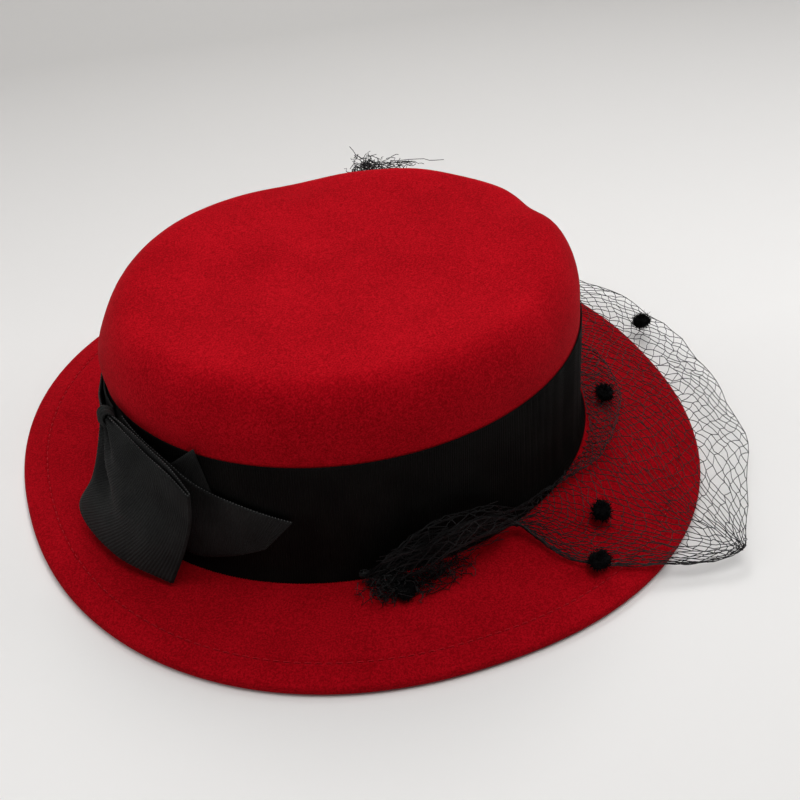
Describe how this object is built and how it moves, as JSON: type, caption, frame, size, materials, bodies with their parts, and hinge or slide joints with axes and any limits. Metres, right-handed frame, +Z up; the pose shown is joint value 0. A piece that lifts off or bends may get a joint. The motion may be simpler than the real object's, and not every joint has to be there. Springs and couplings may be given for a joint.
{
  "type": "veiled felt hat",
  "caption": "Small-brimmed felt hat with a flat crown, a wide ribbed ribbon band, a ribbon bow and a dotted net veil.",
  "frame": {"origin": "centre of the head opening, in the plane that the brim's edge rests on", "axes": "+Z up through the crown, +X to the front of the hat, away from the bow, +Y to the wearer's left"},
  "size_m": [0.311, 0.272, 0.0989],
  "materials": {
    "red_felt": "brushed wool felt",
    "steel_wire": "drawn",
    "red_thread": "twisted thread",
    "black_grosgrain": "fine cross ribs, low sheen",
    "head_ribbon": "ribbed",
    "veil_net": "diamond net of thin thread",
    "black_thread": "twisted thread",
    "chenille": "cut pile"
  },
  "bodies": {
    "root": {"felt_crown": "red_felt", "felt_brim": "red_felt", "brim_wire": "steel_wire", "brim_edge_stitching": "red_thread", "headline_stitching": "red_thread", "hat_band": "black_grosgrain", "head_ribbon": "head_ribbon", "bow_loop_near": "black_grosgrain", "bow_loop_far": "black_grosgrain", "bow_knot": "black_grosgrain", "bow_tail_long": "black_grosgrain", "bow_tail_short": "black_grosgrain", "veil_gather_near": "veil_net", "veil_tack_near": "black_thread", "veil_tack_far": "black_thread", "chenille_dot_5": "chenille"},
    "veil": {"veil_net": "veil_net", "veil_gather_far": "veil_net", "chenille_dot_1": "chenille", "chenille_dot_2": "chenille", "chenille_dot_3": "chenille", "chenille_dot_4": "chenille", "chenille_dot_6": "chenille", "chenille_dot_7": "chenille", "chenille_dot_8": "chenille"}
  },
  "joints": [
    {"name": "veil_lift", "type": "hinge", "parent": "root", "child": "veil", "pos_m": [0, 0, 0.042], "axis": [0, -1, 0], "range_deg": [0, 100]}
  ]
}
